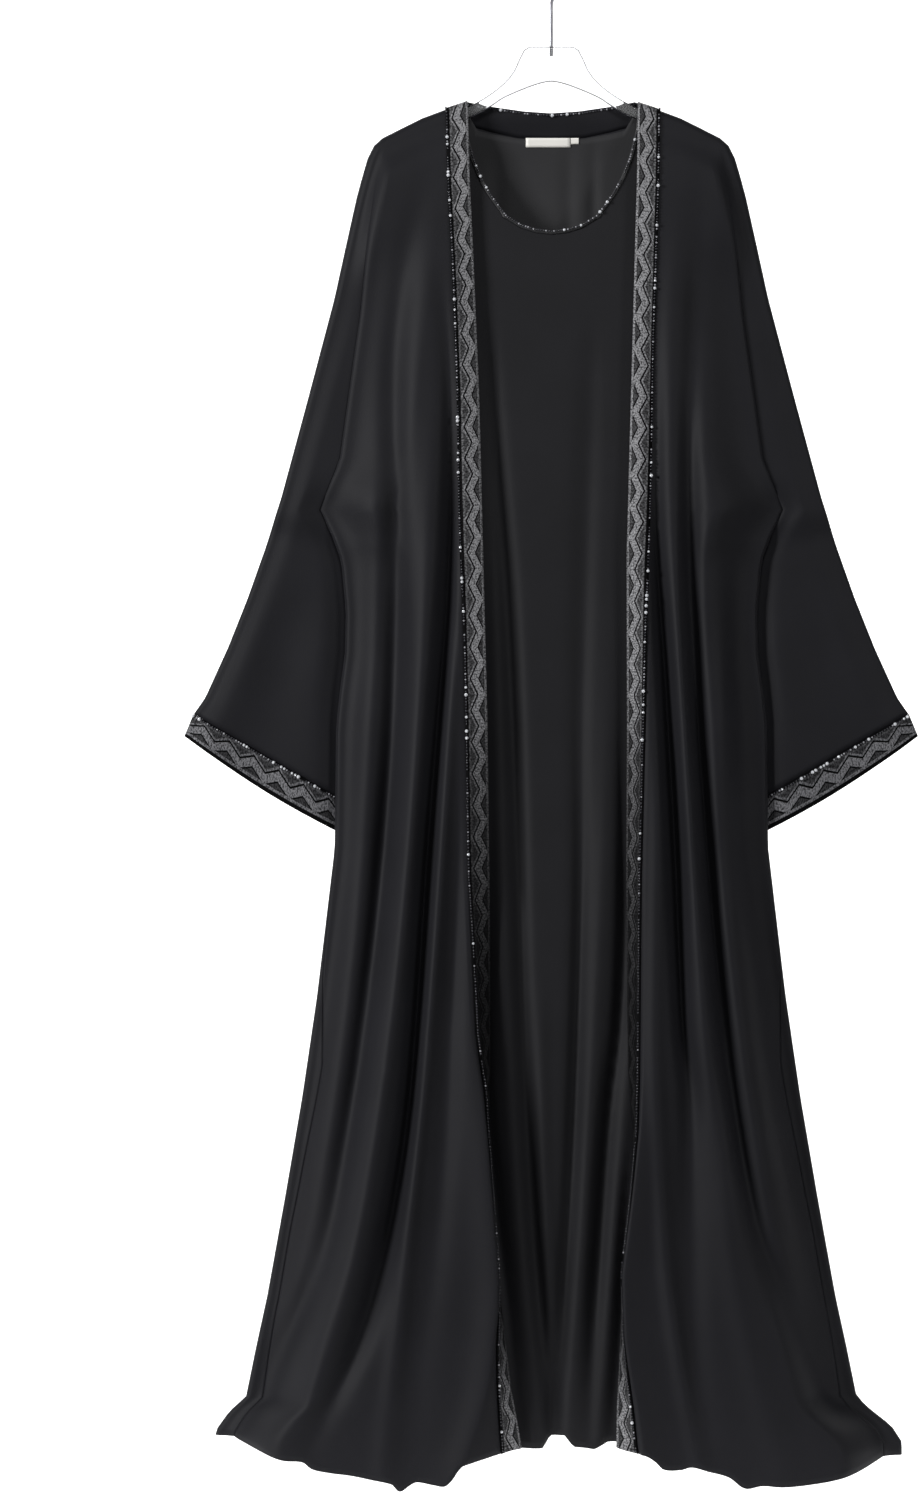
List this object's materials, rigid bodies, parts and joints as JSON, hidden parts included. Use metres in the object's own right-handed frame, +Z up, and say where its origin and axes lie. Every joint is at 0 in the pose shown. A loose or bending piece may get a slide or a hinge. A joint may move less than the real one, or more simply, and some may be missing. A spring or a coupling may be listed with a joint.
{
  "type": "open-front abaya with inner dress on a hanger",
  "caption": "Long black open-front abaya with batwing sleeves and zigzag-embroidered edges over its own scoop-neck dress, hung on a clear hanger with a wire hook.",
  "frame": {"origin": "inside top of the hanger's hook, where it rests on the rail", "axes": "+Z up, -Y out of the garment's open front toward the viewer, +X to the viewer's right"},
  "size_m": [0.796, 0.1336, 1.6652],
  "materials": {
    "cuff_left": "embroidered zigzag on black, with beads",
    "cuff_right": "embroidered zigzag on black, with beads",
    "dress_back": "matt black crepe, wrong side",
    "dress_front": "matt black crepe",
    "dress_neck_binding": "black binding with small beads",
    "front_band_left": "embroidered zigzag on black, with beads",
    "front_band_right": "embroidered zigzag on black, with beads",
    "hanger_body": "clear, polished",
    "hanger_hook": "polished wire",
    "main_label": "woven, plain",
    "neckband_back": "matt black crepe",
    "robe_back": "matt black crepe",
    "robe_front_left": "matt black crepe",
    "robe_front_right": "matt black crepe",
    "size_tab": "woven, plain"
  },
  "bodies": {
    "root": {"cuff_left": "cuff_left", "cuff_right": "cuff_right", "dress_back": "dress_back", "dress_front": "dress_front", "dress_neck_binding": "dress_neck_binding", "front_band_left": "front_band_left", "front_band_right": "front_band_right", "hanger_body": "hanger_body", "hanger_hook": "hanger_hook", "main_label": "main_label", "neckband_back": "neckband_back", "robe_back": "robe_back", "robe_front_left": "robe_front_left", "robe_front_right": "robe_front_right", "size_tab": "size_tab"}
  },
  "joints": []
}
